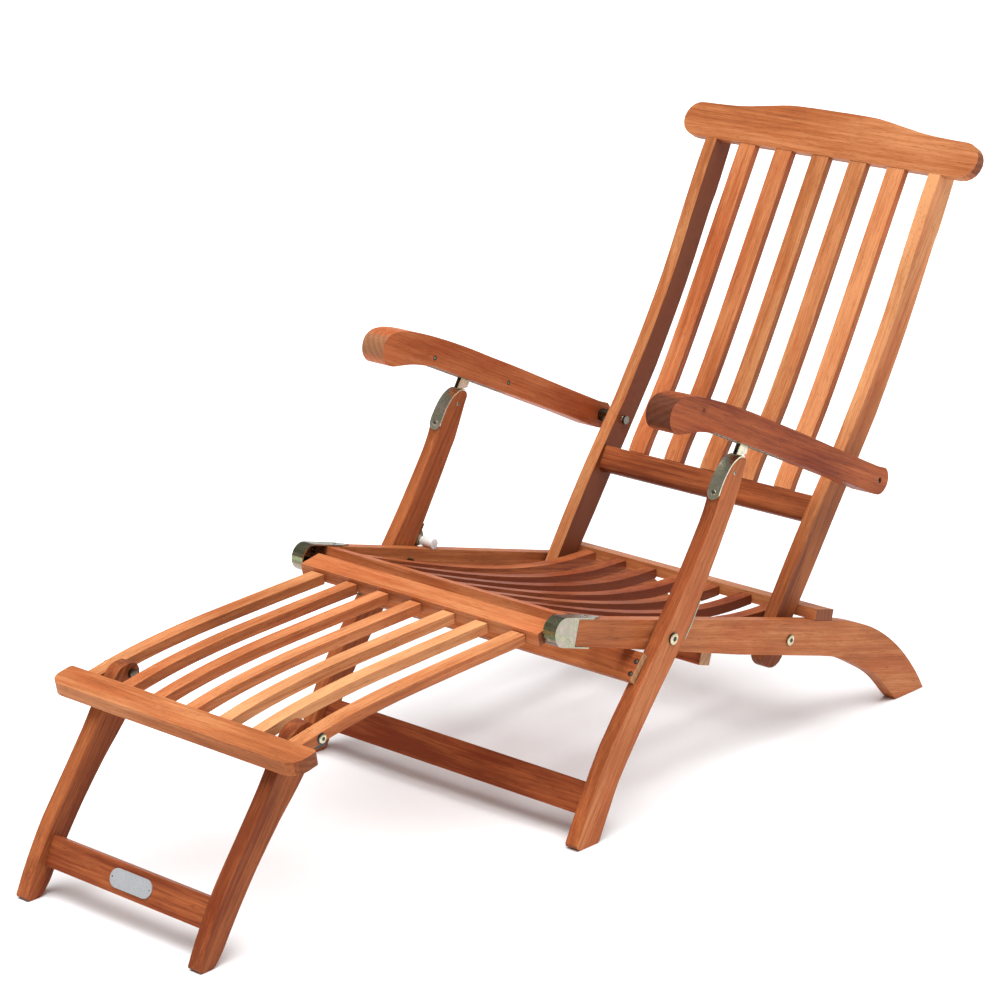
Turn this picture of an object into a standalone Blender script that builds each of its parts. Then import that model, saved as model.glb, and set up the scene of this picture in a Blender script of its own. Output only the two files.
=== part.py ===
"""Folding deck chair: slatted seat, reclining back, armrests and a hinged footrest.

Metres, +Z up. The chair faces -Y and +X is the sitter's left. Side profiles are given as
(y, z) pairs in the chair's own side view, where y = 0 is the front leg's pivot; the whole
chair is then moved by CENTRE_Y, so that the origin is the middle of its footprint.
"""

import math

import bmesh
import bpy
from mathutils import Vector

# ---- driving dimensions -------------------------------------------------------------
CENTRE_Y = 0.0411           # from the front leg's pivot to the middle of the footprint
GAP = 0.0003                # between faces that touch

LEG_PIVOT = (0.0, 0.2556)
BACK_PIVOT = (0.3020, 0.1684)
ARM_PIVOT = (0.4580, 0.3826)
FOOTREST_PIVOT = (-0.1990, 0.3055)
FOOTREST_LEG_PIVOT = (-0.6125, 0.2668)

RAIL_X = (0.2255, 0.2475)   # inner and outer face of each side rail
LEG_X = (0.2505, 0.2715)
STILE_X = (0.1985, 0.2195)
ARM_X = (0.2430, 0.2850)
FOOTREST_LEG_X = (0.1530, 0.1750)

RAIL_TOP = 0.2768           # height of the rails' top edge above y = 0
RAIL_SLOPE = 0.2606         # fall of that edge for each metre towards the back
RAIL_ANGLE = math.atan(RAIL_SLOPE)
RAIL_FRONT = -0.1690        # the wood ends here, inside its metal cup

SLAT_WIDTH = 0.021
SEAT_PITCH = 0.0605
SEAT_SLAT_DEPTH = 0.0145
FOOTREST_SLAT_X = (-0.1880, -0.1220, -0.0615, 0.0, 0.0615, 0.1220, 0.1880)
FOOTREST_OUTER_WIDTH = 0.0240
FOOTREST_SLAT_DEPTH = 0.0145
BACK_PITCH = 0.0695
BACK_SLAT_WIDTH = 0.0310
BACK_SLAT_DEPTH = 0.0125

BOLT_RADIUS = 0.0040
BOLT_HEAD_RADIUS = 0.0085
FOOTREST_BOLT_HEAD = 0.0064
SHEET = 0.0020              # thickness of the pressed metal

# ---- scene --------------------------------------------------------------------------
for old in list(bpy.data.objects):
    bpy.data.objects.remove(old, do_unlink=True)

chair = bpy.data.collections.new("folding_deck_chair")
bpy.context.scene.collection.children.link(chair)
cutters = bpy.data.collections.new("cutters")
bpy.context.scene.collection.children.link(cutters)

MATERIALS = {
    "wood": ((0.47, 0.17, 0.07, 1.0), 0.45, 0.0),
    "zinc": ((0.62, 0.62, 0.50, 1.0), 0.35, 1.0),
    "steel": ((0.62, 0.60, 0.55, 1.0), 0.30, 1.0),
    "white_plastic": ((0.86, 0.86, 0.84, 1.0), 0.40, 0.0),
    "badge": ((0.70, 0.71, 0.72, 1.0), 0.35, 1.0),
}
SIDES = {"left": 1, "right": -1}


def material_for(name, finish):
    """The node's own Principled material."""
    colour, roughness, metallic = MATERIALS[finish]
    made = bpy.data.materials.new(name)
    made.use_nodes = True
    shader = made.node_tree.nodes["Principled BSDF"]
    shader.inputs["Base Color"].default_value = colour
    shader.inputs["Roughness"].default_value = roughness
    shader.inputs["Metallic"].default_value = metallic
    made.diffuse_color = colour
    return made


def pivot(name, parent, axis):
    """An empty on a joint's axis, given in the side view."""
    empty = bpy.data.objects.new(name, None)
    chair.objects.link(empty)
    empty.empty_display_size = 0.02
    empty.parent = parent
    offset = parent["axis"] if parent else (-CENTRE_Y, 0.0)
    empty["axis"] = axis
    empty.location = (0.0, axis[0] - offset[0], axis[1] - offset[1])
    return empty


seat_frame = pivot("seat_frame_origin", None, (0.0, 0.0))
front_legs = pivot("front_legs_pivot", seat_frame, LEG_PIVOT)
back_hinge = pivot("back_hinge_pivot", seat_frame, BACK_PIVOT)
backrest = pivot("backrest_pivot", back_hinge, BACK_PIVOT)
arm_hinge = pivot("arm_hinge_pivot", backrest, ARM_PIVOT)
arm_left = pivot("armrest_left_pivot", arm_hinge, ARM_PIVOT)
arm_right = pivot("armrest_right_pivot", arm_hinge, ARM_PIVOT)
footrest = pivot("footrest_pivot", seat_frame, FOOTREST_PIVOT)
footrest_legs = pivot("footrest_legs_pivot", footrest, FOOTREST_LEG_PIVOT)


def finish(made, body, finish_name):
    """Put an object, whose location is in the chair's side view, on its body."""
    axis = body["axis"]
    made.parent = body
    made.location = Vector(made.location) - Vector((0.0, axis[0], axis[1]))
    made.data.materials.append(material_for(made.name, finish_name))
    return made


# ---- outlines -----------------------------------------------------------------------
def flow(points, steps=4):
    """A smooth line through the points (Catmull-Rom), with so many steps between each two."""
    line = [Vector(p) for p in points]
    padded = [2 * line[0] - line[1], *line, 2 * line[-1] - line[-2]]
    out = []
    for a, b, c, d in zip(padded, padded[1:], padded[2:], padded[3:]):
        for k in range(steps):
            t = k / steps
            out.append(0.5 * (2 * b + (c - a) * t + (2 * a - 5 * b + 4 * c - d) * t * t
                              + (3 * b - a - 3 * c + d) * t ** 3))
    out.append(line[-1])
    return [tuple(p) for p in out]


def arc(centre, radius, start, end, steps=6):
    """Points on a circle's arc, angles in degrees from +y towards +z."""
    out = []
    for k in range(steps + 1):
        a = math.radians(start + (end - start) * k / steps)
        out.append((centre[0] + radius * math.cos(a), centre[1] + radius * math.sin(a)))
    return out


def circle(centre, radius, steps=16):
    return arc(centre, radius, 0, 360 - 360 / steps, steps - 1)


def offset_line(points, distance):
    """The line moved sideways, to the right of its direction for a positive distance."""
    line = [Vector(p) for p in points]
    out = []
    for k, p in enumerate(line):
        along = (line[min(k + 1, len(line) - 1)] - line[max(k - 1, 0)]).normalized()
        out.append(tuple(p + distance * Vector((along.y, -along.x))))
    return out


def strip(points, depth):
    """An outline of constant depth below a line that runs from left to right."""
    return list(points) + offset_line(points, depth)[::-1]


def slab(corner, angle, length, depth):
    """A rectangle from its upper corner, running at an angle and hanging below it."""
    along = Vector((math.cos(angle), math.sin(angle)))
    down = Vector((along.y, -along.x)) * depth
    start = Vector(corner)
    return [tuple(p) for p in (start, start + along * length, start + along * length + down, start + down)]


def rail_top(y):
    return RAIL_TOP - RAIL_SLOPE * y


def outline_curve(name, outline, thickness, holes=()):
    """A flat board: a filled 2D outline, extruded to its thickness."""
    data = bpy.data.curves.new(name, "CURVE")
    data.dimensions = "2D"
    data.fill_mode = "BOTH"
    data.extrude = thickness / 2
    for points in (outline, *holes):
        spline = data.splines.new("POLY")
        spline.points.add(len(points) - 1)
        for point, (u, v) in zip(spline.points, points):
            point.co = (u, v, 0.0, 1.0)
        spline.use_cyclic_u = True
    made = bpy.data.objects.new(name, data)
    chair.objects.link(made)
    return made


def board(name, outline, span, body, holes=(), wood="wood"):
    """A piece with a side-view outline between two planes of constant x."""
    low, high = sorted(span)
    made = outline_curve(name, outline, high - low, holes)
    made.rotation_euler = (math.pi / 2, 0.0, math.pi / 2)
    made.location = ((low + high) / 2, 0.0, 0.0)
    return finish(made, body, wood)


def sided(span, side):
    return tuple(side * x for x in span)


def as_mesh(made):
    """The object's shape as a welded mesh, for Booleans; the curve is removed."""
    bpy.context.view_layer.update()
    evaluated = made.evaluated_get(bpy.context.evaluated_depsgraph_get())
    data = bpy.data.meshes.new_from_object(evaluated)
    name, parent, matrix = made.name, made.parent, made.matrix_world.copy()
    materials = [slot.material for slot in made.material_slots]
    links = list(made.users_collection)
    bpy.data.objects.remove(made, do_unlink=True)
    solid = bpy.data.objects.new(name, data)
    for link in links:
        link.objects.link(solid)
    solid.parent = parent
    bpy.context.view_layer.update()
    solid.matrix_world = matrix
    shape = bmesh.new()
    shape.from_mesh(data)
    bmesh.ops.remove_doubles(shape, verts=shape.verts, dist=0.00001)
    bmesh.ops.recalc_face_normals(shape, faces=shape.faces)
    shape.to_mesh(data)
    shape.free()
    data.materials.clear()
    for one in materials:
        data.materials.append(one)
    return solid


def combine(target, tool, operation):
    """A Boolean with another solid, which is kept as a hidden cutter."""
    tool.hide_render = True
    tool.display_type = "WIRE"
    for link in list(tool.users_collection):
        link.objects.unlink(tool)
    cutters.objects.link(tool)
    step = target.modifiers.new(operation.lower(), "BOOLEAN")
    step.operation = operation
    step.solver = "EXACT"
    step.object = tool


def x_cylinder(name, axis, span, radius, body, finish_name, vertices=16):
    """A round bar along x."""
    low, high = sorted(span)
    data = bpy.data.meshes.new(name)
    shape = bmesh.new()
    bmesh.ops.create_cone(shape, cap_ends=True, segments=vertices, radius1=radius, radius2=radius,
                          depth=high - low)
    shape.to_mesh(data)
    shape.free()
    made = bpy.data.objects.new(name, data)
    chair.objects.link(made)
    made.rotation_euler = (0.0, math.pi / 2, 0.0)
    made.location = ((low + high) / 2, axis[0], axis[1])
    return finish(made, body, finish_name)


def bolt(name, axis, side, stations, body, finish_name="steel"):
    """A turned bolt along x: stations are (x, radius) pairs from its inner to its outer end."""
    data = bpy.data.meshes.new(name)
    shape = bmesh.new()
    profile = [(stations[-1][0], 0.0)]
    profile += [(x, radius) for x, radius in reversed(stations)]
    profile += [(stations[0][0], 0.0)]
    verts = [shape.verts.new((radius, 0.0, x)) for x, radius in profile]
    for a, b in zip(verts, verts[1:]):
        shape.edges.new((a, b))
    shape.to_mesh(data)
    shape.free()
    made = bpy.data.objects.new(name, data)
    chair.objects.link(made)
    turn = made.modifiers.new("turn", "SCREW")
    turn.steps = 16
    turn.render_steps = 16
    turn.use_merge_vertices = True
    turn.merge_threshold = 0.00005
    made.rotation_euler = (0.0, side * math.pi / 2, 0.0)
    made.location = (0.0, axis[0], axis[1])
    return finish(made, body, finish_name)


def bolt_hole(axis):
    return circle(axis, BOLT_RADIUS + GAP, 12)


# ---- seat frame ---------------------------------------------------------------------
def side_rails():
    """Long rails that curve down into the rear feet."""
    top = [(RAIL_FRONT, rail_top(RAIL_FRONT)), (0.1000, rail_top(0.1000))]
    top += flow([(0.3900, rail_top(0.3900)), (0.4350, rail_top(0.4350)), (0.4773, 0.1485), (0.5200, 0.1280),
                 (0.5641, 0.0978), (0.6000, 0.0650), (0.6308, 0.0290), (0.6495, 0.0015)], 3)
    foot = [(0.6505, 0.0), (0.5790, 0.0)]
    under = flow([(0.5740, 0.0045), (0.5310, 0.0470), (0.4860, 0.0760), (0.4250, 0.1080),
                  (0.3797, 0.1230)], 4)
    under += [(0.1788, 0.1786), (-0.0369, 0.2434)]
    front_bottom = (RAIL_FRONT - 0.0365 * math.sin(RAIL_ANGLE),
                    rail_top(RAIL_FRONT) - 0.0365 * math.cos(RAIL_ANGLE))
    outline = top + foot + under + [front_bottom]
    for word, side in SIDES.items():
        board(f"side_rail_{word}", outline, sided(RAIL_X, side), seat_frame,
              holes=[bolt_hole(LEG_PIVOT), bolt_hole(BACK_PIVOT)])


def seat_cross_rails():
    inner = RAIL_X[0] - GAP
    front = slab((RAIL_FRONT + 0.0005, rail_top(RAIL_FRONT) - 0.0010), -RAIL_ANGLE, 0.0200, 0.0340)
    board("seat_front_rail", front, (-inner, inner), seat_frame)
    rear = slab((0.3665, rail_top(0.3665) + 0.0171 / math.cos(RAIL_ANGLE)), -RAIL_ANGLE, 0.0430, 0.0165)
    board("seat_rear_rail", rear, (-RAIL_X[1], RAIL_X[1]), seat_frame)
    y, z = 0.1120, 0.1980
    batten = slab((y, z - 0.0006), -math.atan(0.3004), 0.0240, 0.0190)
    board("seat_batten", batten, (-0.2350, 0.2350), seat_frame)


def seat_slats():
    """Slats that dip between the two cross rails."""
    top = flow([(-0.1484, 0.3129), (-0.0972, 0.2955), (-0.0344, 0.2742), (0.0298, 0.2539),
                (0.0953, 0.2352), (0.1398, 0.2239), (0.1850, 0.2136), (0.2538, 0.2022),
                (0.3100, 0.1972), (0.3615, 0.1962)], 2)
    outline = strip(top, SEAT_SLAT_DEPTH)
    for k in range(7):
        x = (k - 3) * SEAT_PITCH
        board(f"seat_slat_{k + 1}", outline, (x - SLAT_WIDTH / 2, x + SLAT_WIDTH / 2), seat_frame)


def rail_cups():
    """Pressed cups on the rails' front ends, open inwards, that hold the footrest's pins."""
    slope = -RAIL_ANGLE
    along = Vector((math.cos(slope), math.sin(slope)))
    across = Vector((along.y, -along.x))
    depth = 0.0365 + 2 * GAP
    top_front = Vector((RAIL_FRONT, rail_top(RAIL_FRONT))) - across * GAP
    nose = top_front - along * 0.0260 + across * depth / 2
    nose_angle = math.degrees(slope)

    def profile(grow):
        """Top strap, round nose and bottom strap, offset outwards."""
        line = [top_front + along * 0.0560 - across * grow]
        line += [Vector(p) for p in arc(nose, depth / 2 + grow, nose_angle + 90, nose_angle + 270, 12)]
        line += [top_front + along * 0.0300 + across * (depth + grow)]
        return [tuple(p) for p in line]

    outer, inner = profile(SHEET), profile(0.0)
    # the rail's lower edge falls away from its upper edge, and the bottom strap follows it
    outer[-1] = (outer[-1][0], outer[-1][1] - 0.0014)
    inner[-1] = (inner[-1][0], inner[-1][1] - 0.0014)
    band = outer + inner[::-1]
    rear = top_front - along * 0.0008
    plate = [tuple(rear - across * 0.5 * SHEET)]
    plate += arc(nose, depth / 2 + 0.5 * SHEET, nose_angle + 90, nose_angle + 270, 12)
    plate += [tuple(rear + across * (depth + 0.5 * SHEET))]
    for word, side in SIDES.items():
        width = sided((RAIL_X[0], RAIL_X[1]), side)
        cup = as_mesh(board(f"rail_cup_{word}", band, width, seat_frame, wood="zinc"))
        outer_plate = as_mesh(board(f"cup_plate_{word}", plate,
                                    sided((RAIL_X[1] - SHEET, RAIL_X[1]), side), seat_frame))
        combine(cup, outer_plate, "UNION")
        # the top strap ends in a point: its two corners are cut off in plan
        tip = top_front + along * 0.0560
        x_mid = side * (RAIL_X[0] + RAIL_X[1]) / 2
        for hand in (1, -1):
            wedge = outline_curve(f"strap_corner_{word}_{'a' if hand > 0 else 'b'}",
                                  [(0.0, 0.0), (0.0200 * hand, 0.0), (0.0200 * hand, -0.0460)], 0.0300)
            wedge.location = (x_mid, tip.x + 0.0012, tip.y)
            wedge = as_mesh(finish(wedge, seat_frame, "zinc"))
            combine(cup, wedge, "DIFFERENCE")


# ---- front legs ---------------------------------------------------------------------
LEG_FRONT = [(-0.1978, 0.0075), (-0.1818, 0.0385), (-0.1640, 0.0705), (-0.1293, 0.1293),
             (-0.0722, 0.2000), (-0.0388, 0.2385), (-0.0056, 0.2805), (0.0238, 0.3200),
             (0.0495, 0.3565), (0.0805, 0.4030), (0.0925, 0.4260)]
LEG_CROWN = [(0.0990, 0.4425), (0.1060, 0.4545), (0.1140, 0.4650), (0.1240, 0.4748), (0.1345, 0.4805),
             (0.1430, 0.4825), (0.1510, 0.4808), (0.1548, 0.4765)]
LEG_REAR = [(0.1545, 0.4710), (0.1495, 0.4610), (0.1437, 0.4478), (0.1283, 0.4131), (0.1193, 0.3986),
            (0.0983, 0.3626), (0.0775, 0.3284), (0.0387, 0.2660), (0.0115, 0.2310), (-0.0272, 0.1861),
            (-0.0708, 0.1324), (-0.1110, 0.0784), (-0.1312, 0.0404), (-0.1510, 0.0020)]


def front_leg_boards():
    outline = flow(LEG_FRONT + LEG_CROWN, 2) + flow(LEG_REAR, 2)
    outline += [(-0.1550, 0.0), (-0.1885, 0.0), (-0.1935, 0.0010), (-0.1966, 0.0036)]
    for word, side in SIDES.items():
        board(f"front_leg_{word}", outline, sided(LEG_X, side), front_legs, holes=[bolt_hole(LEG_PIVOT)])


def leg_cross_bars():
    """The bar that the rails rest on, and the stretcher lower down between the legs."""
    rise = math.atan2(0.2385 - 0.2000, 0.0722 - 0.0388)
    bar_top = Vector((-0.0400, 0.2371)) + Vector((-math.sin(rise), math.cos(rise))) * 0.0008
    bar = slab(bar_top, rise + math.pi, 0.0435, 0.0110)
    board("leg_stop_bar", bar, (-0.2600, 0.2600), front_legs)
    inner = LEG_X[0] - GAP
    stretcher = slab((-0.1422, 0.0780), math.radians(60.4) + math.pi, 0.0455, -0.0200)
    board("leg_stretcher", stretcher, (-inner, inner), front_legs)


def leg_heads():
    """A strap bent over each leg's top, with a folded tongue that runs in the armrest's channel."""
    whole = flow(LEG_FRONT + LEG_CROWN, 4)
    tip = Vector((0.0945, 0.4310))
    inside = offset_line([p for p in whole if p[1] > tip.y - 0.0080 and p[0] < 0.1520], -GAP)
    outside = offset_line(inside, -SHEET)
    strap = inside + outside[::-1]
    tongue = [(0.1395, 0.4828), (0.1440, 0.4900), (0.1545, 0.5070), (0.1570, 0.5084), (0.1672, 0.5038),
              (0.1690, 0.5010), (0.1660, 0.4870), (0.1632, 0.4826), (0.1520, 0.4826)]
    fold = [(0.1380, 0.4860), (0.1570, 0.4860), (0.1680, 0.5200), (0.1440, 0.5200)]
    middle = (LEG_X[0] + LEG_X[1]) / 2
    half = (LEG_X[1] - LEG_X[0]) / 2
    lean = Vector((0.0990 - 0.0925, 0.4425 - 0.4260))
    corner = [(half + 0.0030, 0.0)] + arc((0.0, 0.0), half - 0.0001, 0, -180, 12)
    corner += [(-half - 0.0030, 0.0), (-half - 0.0030, -0.0200), (half + 0.0030, -0.0200)]
    for word, side in SIDES.items():
        head = as_mesh(board(f"leg_head_{word}", strap, sided(LEG_X, side), front_legs, wood="zinc"))
        upright = as_mesh(board(f"tongue_{word}", tongue, sided((middle - 0.0038, middle + 0.0038), side),
                                front_legs))
        combine(head, upright, "UNION")
        slit = as_mesh(board(f"tongue_fold_{word}", fold, sided((middle - 0.0023, middle + 0.0023), side),
                             front_legs))
        combine(head, slit, "DIFFERENCE")
        # the strap's lower end is a half round
        end = outline_curve(f"strap_end_{word}", corner, 0.0200)
        end.rotation_euler = (math.atan2(lean.y, lean.x), 0.0, 0.0)
        end.location = (side * middle, tip.x + 0.0037, tip.y + 0.0090)
        combine(head, as_mesh(finish(end, front_legs, "zinc")), "DIFFERENCE")


def leg_stops():
    """A bracket on each leg's rear edge, with a white sleeve that rests on the rail's top edge."""
    bracket_line = [(0.0262, 0.2496), (0.0389, 0.2660), (0.0584, 0.2970)]
    near = offset_line(bracket_line, 0.0012)
    far = offset_line(bracket_line, 0.0012 + SHEET)
    radius = 0.0075
    y = 0.0560
    centre = (y, rail_top(y) + (radius + GAP) / math.cos(RAIL_ANGLE))
    for word, side in SIDES.items():
        plate = as_mesh(board(f"stop_bracket_{word}", near + far[::-1], sided(LEG_X, side), front_legs,
                              wood="zinc"))
        ear = as_mesh(board(f"bracket_ear_{word}",
                            [far[1], (centre[0] + 0.0050, centre[1] - 0.0045), (centre[0] + 0.0062, centre[1]),
                             (centre[0] + 0.0030, centre[1] + 0.0060), (0.0560, 0.2890)],
                            sided((LEG_X[0], LEG_X[0] + SHEET), side), front_legs))
        combine(plate, ear, "UNION")
        pin = x_cylinder(f"stop_pin_{word}", centre, sided((RAIL_X[0] + 0.0010, LEG_X[0] + 0.0005), side),
                         0.0030, front_legs, "steel", 12)
        combine(plate, pin, "UNION")
        sleeve = board(f"stop_sleeve_{word}", circle(centre, radius, 20),
                       sided((RAIL_X[0] + 0.0005, LEG_X[0] - 2 * GAP), side), front_legs,
                       holes=[circle(centre, 0.0030 + GAP, 12)], wood="white_plastic")
        sleeve.name = f"stop_sleeve_{word}"


# ---- backrest -----------------------------------------------------------------------
STILE_FRONT = [(0.2960, 0.1810), (0.3036, 0.1947), (0.3480, 0.2625), (0.3909, 0.3240), (0.4308, 0.3768),
               (0.4603, 0.4155), (0.4862, 0.4545), (0.5225, 0.5095), (0.5740, 0.5960), (0.6194, 0.6869),
               (0.6540, 0.7545), (0.6746, 0.7905)]
STILE_REAR = [(0.7103, 0.7760), (0.6970, 0.7480), (0.6768, 0.7074), (0.6600, 0.6785), (0.6050, 0.5710),
              (0.5440, 0.4680), (0.5296, 0.4455), (0.4990, 0.4020), (0.4367, 0.3139), (0.3900, 0.2470),
              (0.3446, 0.1841), (0.3370, 0.1700)]
LOWER_RAIL_CORNER = Vector((0.4164, 0.3510))
LOWER_RAIL_UP = Vector((0.5, math.sqrt(0.75)))
LOWER_RAIL_BACK = Vector((LOWER_RAIL_UP.y, -LOWER_RAIL_UP.x))
CREST_FOOT = Vector(STILE_FRONT[-1])
CREST_UP = Vector((0.4912, 0.8710)).normalized()
CREST_BACK = Vector((CREST_UP.y, -CREST_UP.x))
CREST_THICK = 0.0175


def stiles():
    lap = 0.0480
    heel = CREST_FOOT + CREST_BACK * (CREST_THICK + GAP) - CREST_UP * GAP
    top = [tuple(CREST_FOOT - CREST_UP * GAP), tuple(heel), tuple(heel + CREST_UP * lap),
           tuple(heel + CREST_UP * lap + CREST_BACK * 0.0060),
           tuple(heel + CREST_UP * (lap - 0.0120) + CREST_BACK * 0.0160)]
    foot = arc((0.3010, 0.1460), 0.0265, -20, -165, 8)
    outline = flow(STILE_FRONT, 3)[:-1] + top + flow(STILE_REAR, 3) + foot
    for word, side in SIDES.items():
        board(f"back_stile_{word}", outline, sided(STILE_X, side), backrest,
              holes=[bolt_hole(BACK_PIVOT), bolt_hole(ARM_PIVOT)])


def back_slats():
    """Slats that stand on the lower rail's top edge and end under the crest rail."""
    foot = LOWER_RAIL_CORNER + LOWER_RAIL_UP * GAP + LOWER_RAIL_BACK * 0.0010
    front = flow([tuple(foot), (0.4335, 0.3775), (0.4888, 0.4565), (0.5496, 0.5612),
                  (0.6118, 0.6746), tuple(CREST_FOOT - CREST_UP * GAP + CREST_BACK * 0.0008)], 3)
    outline = strip(front, BACK_SLAT_DEPTH)
    outline[-1] = tuple(foot + LOWER_RAIL_BACK * BACK_SLAT_DEPTH)
    for k in range(5):
        x = (k - 2) * BACK_PITCH
        board(f"back_slat_{k + 1}", outline, (x - BACK_SLAT_WIDTH / 2, x + BACK_SLAT_WIDTH / 2), backrest)


def back_lower_rail():
    """The rail below the slats, with its front edges rounded."""
    inner = STILE_X[0] - GAP
    height, depth = 0.0390, 0.0200
    upper, lower = 0.0030, 0.0100
    lean = math.degrees(math.atan2(LOWER_RAIL_UP.y, LOWER_RAIL_UP.x))
    top = LOWER_RAIL_CORNER - LOWER_RAIL_UP * upper + LOWER_RAIL_BACK * upper
    low = LOWER_RAIL_CORNER - LOWER_RAIL_UP * (height - lower) + LOWER_RAIL_BACK * lower
    outline = arc(top, upper, lean, lean + 90, 4) + arc(low, lower, lean + 90, lean + 180, 6)
    outline += [tuple(LOWER_RAIL_CORNER - LOWER_RAIL_UP * height + LOWER_RAIL_BACK * depth),
                tuple(LOWER_RAIL_CORNER + LOWER_RAIL_BACK * depth)]
    board("back_lower_rail", outline, (-inner, inner), backrest)


def crest_rail():
    """The shaped top board: a low hump in the middle and rounded ends."""
    half = flow([(0.0, 0.0712), (0.0450, 0.0711), (0.0850, 0.0697), (0.1270, 0.0637), (0.1700, 0.0577),
                 (0.2080, 0.0555), (0.2460, 0.0546)], 3)
    end = arc((0.2460, 0.0273), 0.0273, 90, -90, 10)
    right = half[:-1] + end
    left = [(-x, s) for x, s in right[::-1]]
    outline = left[:-1] + right
    made = outline_curve("crest_rail", outline, CREST_THICK)
    # local x stays along x, local y runs up the stiles and local z points towards the front
    made.rotation_euler = (math.atan2(CREST_UP.y, CREST_UP.x), 0.0, 0.0)
    middle = CREST_FOOT + CREST_BACK * CREST_THICK / 2
    made.location = (0.0, middle.x, middle.y)
    finish(made, backrest, "wood")


# ---- armrests -----------------------------------------------------------------------
GROOVE_Y = (0.0720, 0.2450)
CHANNEL_HALF = 0.0065


def arm_under(y):
    """Height of the armrest's straight underside."""
    return 0.5034 - 0.4530 * (y - 0.1439)


def armrests():
    top = flow([(0.4560, 0.4037), (0.3632, 0.4473), (0.2663, 0.4940), (0.1988, 0.5252), (0.1546, 0.5460),
                (0.1111, 0.5650), (0.0683, 0.5821), (0.0300, 0.5950), (0.0080, 0.5998)], 3)
    nose = flow([(0.0080, 0.5998), (-0.0115, 0.5994), (-0.0262, 0.5920), (-0.0322, 0.5785), (-0.0308, 0.5660),
                 (-0.0235, 0.5560), (-0.0120, 0.5510), (0.0050, 0.5490), (0.0320, 0.5455),
                 (0.0700, 0.5352)], 3)
    under = [(GROOVE_Y[0], arm_under(GROOVE_Y[0])), (GROOVE_Y[1], arm_under(GROOVE_Y[1])),
             (0.3735, 0.3990)]
    rear = arc(ARM_PIVOT, 0.0215, -116, 64, 10)
    outline = top[:-1] + nose[:-1] + under + rear[:-1]
    middle = (LEG_X[0] + LEG_X[1]) / 2
    for word, side in SIDES.items():
        body = arm_left if side > 0 else arm_right
        arm = as_mesh(board(f"armrest_{word}", outline, sided(ARM_X, side), body,
                            holes=[bolt_hole(ARM_PIVOT)]))
        groove = channel_outline(0.0160, GAP)
        half = CHANNEL_HALF + GAP
        cutter = as_mesh(board(f"groove_{word}", groove, sided((middle - half, middle + half), side), body))
        combine(arm, cutter, "DIFFERENCE")
        channel(word, side, body, middle)


def channel_outline(depth, margin, proud=0.0100):
    """Side view of the armrest's channel: margin is added at its ends and its top."""
    y0, y1 = GROOVE_Y[0] + 0.0020 - margin, GROOVE_Y[1] - 0.0020 + margin
    return [(y0, arm_under(y0) + depth + margin), (y1, arm_under(y1) + depth + margin),
            (y1, arm_under(y1) - proud), (y0, arm_under(y0) - proud)]


def channel(word, side, body, middle):
    """A pressed channel, open downwards, set into the armrest's underside."""
    shell = as_mesh(board(f"armrest_channel_{word}", channel_outline(0.0158, 0.0, 0.0012),
                          sided((middle - CHANNEL_HALF, middle + CHANNEL_HALF), side), body, wood="zinc"))
    inside = CHANNEL_HALF - 0.0015
    hollow_shape = [(y, z) for y, z in channel_outline(0.0142, 0.0, 0.0100)]
    hollow_shape = [(hollow_shape[0][0] - 0.0100, hollow_shape[0][1] + 0.0045),
                    (hollow_shape[1][0] + 0.0100, hollow_shape[1][1] - 0.0045),
                    (hollow_shape[2][0] + 0.0100, hollow_shape[2][1] - 0.0045),
                    (hollow_shape[3][0] - 0.0100, hollow_shape[3][1] + 0.0045)]
    hollow = as_mesh(board(f"channel_hollow_{word}", hollow_shape,
                           sided((middle - inside, middle + inside), side), body))
    combine(shell, hollow, "DIFFERENCE")


# ---- footrest -----------------------------------------------------------------------
FOOTREST_TOP = [(-0.2255, 0.3035), (-0.3000, 0.3005), (-0.3740, 0.2970), (-0.4690, 0.2917),
                (-0.5500, 0.2838), (-0.6050, 0.2757), (-0.6483, 0.2672)]
FOOTREST_HALF = 0.2225


def footrest_frame():
    tilt = math.atan2(0.0068, 0.0360)
    rail = slab((-0.2253, 0.3093), tilt, 0.0366, 0.0190)
    pin_hole = circle(FOOTREST_PIVOT, 0.0045 + GAP, 12)
    board("footrest_rear_rail", rail, (-FOOTREST_HALF, FOOTREST_HALF), footrest, holes=[pin_hole])
    top = flow(FOOTREST_TOP[::-1], 3)
    under = offset_line(top, FOOTREST_SLAT_DEPTH)[::-1]
    for k, x in enumerate(FOOTREST_SLAT_X):
        outer = k in (0, 6)
        half = (FOOTREST_OUTER_WIDTH if outer else SLAT_WIDTH) / 2
        board(f"footrest_slat_{k + 1}", top + under, (x - half, x + half), footrest,
              holes=[bolt_hole(FOOTREST_LEG_PIVOT)] if outer else ())
    footrest_board()


def footrest_board():
    """The front board, with its four corners rounded in plan and a slight tilt."""
    tilt = math.atan2(0.0080, 0.0390)
    width, half = 0.0437, 0.2304
    front, rear = 0.0230, 0.0060
    outline = arc((half - rear, width / 2 - rear), rear, 90, 0, 4)
    outline += arc((half - front, front - width / 2), front, 0, -90, 6)
    outline += arc((front - half, front - width / 2), front, -90, -180, 6)
    outline += arc((rear - half, width / 2 - rear), rear, -180, -270, 4)
    made = outline_curve("footrest_board", outline, 0.0190)
    made.rotation_euler = (tilt, 0.0, 0.0)
    middle = Vector((-0.6708, 0.2646)) + Vector((math.sin(tilt), -math.cos(tilt))) * 0.0095
    made.location = (0.0, middle.x, middle.y)
    finish(made, footrest, "wood")


def footrest_pins():
    for word, side in SIDES.items():
        x_cylinder(f"footrest_pin_{word}", FOOTREST_PIVOT, sided((0.2000, 0.2440), side), 0.0045, footrest,
                   "steel", 12)


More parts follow.
